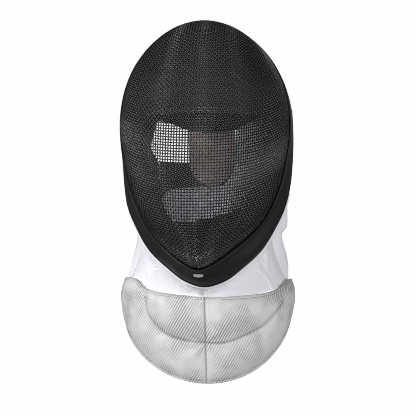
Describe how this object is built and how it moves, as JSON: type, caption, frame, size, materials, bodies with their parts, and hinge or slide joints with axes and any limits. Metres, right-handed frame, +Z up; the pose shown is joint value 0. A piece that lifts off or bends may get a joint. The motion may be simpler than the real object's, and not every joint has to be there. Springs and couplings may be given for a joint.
{
  "type": "fencing mask",
  "caption": "Fencing mask with a woven wire mesh dome, black trim, padded lining, spring tongue, back strap and a white neck bib with a grey conductive lower panel",
  "frame": {"origin": "the head seat: the underside of the crown pad on the middle line, where the wearer's head carries the mask", "axes": "+Z up through the crown, -Y the way the mask faces, +X the wearer's left"},
  "size_m": [0.2188, 0.2751, 0.4421],
  "materials": {
    "wire": "satin black enamel on woven steel wire",
    "trim": "smooth matte black",
    "badge": "satin",
    "padding": "black brushed cloth over foam",
    "steel": "satin spring steel",
    "suede": "beige suede",
    "webbing": "black ribbed webbing",
    "white_cloth": "white tightly woven cloth",
    "lame": "grey metallic twill, quilted"
  },
  "bodies": {
    "root": {"wire_mesh": "wire", "rim_trim": "trim", "badge": "badge", "crown_pad": "padding", "chin_pad": "padding", "side_pad_left": "padding", "side_pad_right": "padding", "back_hood": "padding", "spring_tongue": "steel", "tongue_rivet_left": "steel", "tongue_rivet_right": "steel", "tongue_cover": "suede", "strap_tab_left": "webbing", "strap_tab_right": "webbing", "nape_flap": "webbing", "back_strap": "webbing", "bib_piping": "white_cloth", "bib_upper": "white_cloth", "bib_lame": "lame"}
  },
  "joints": []
}
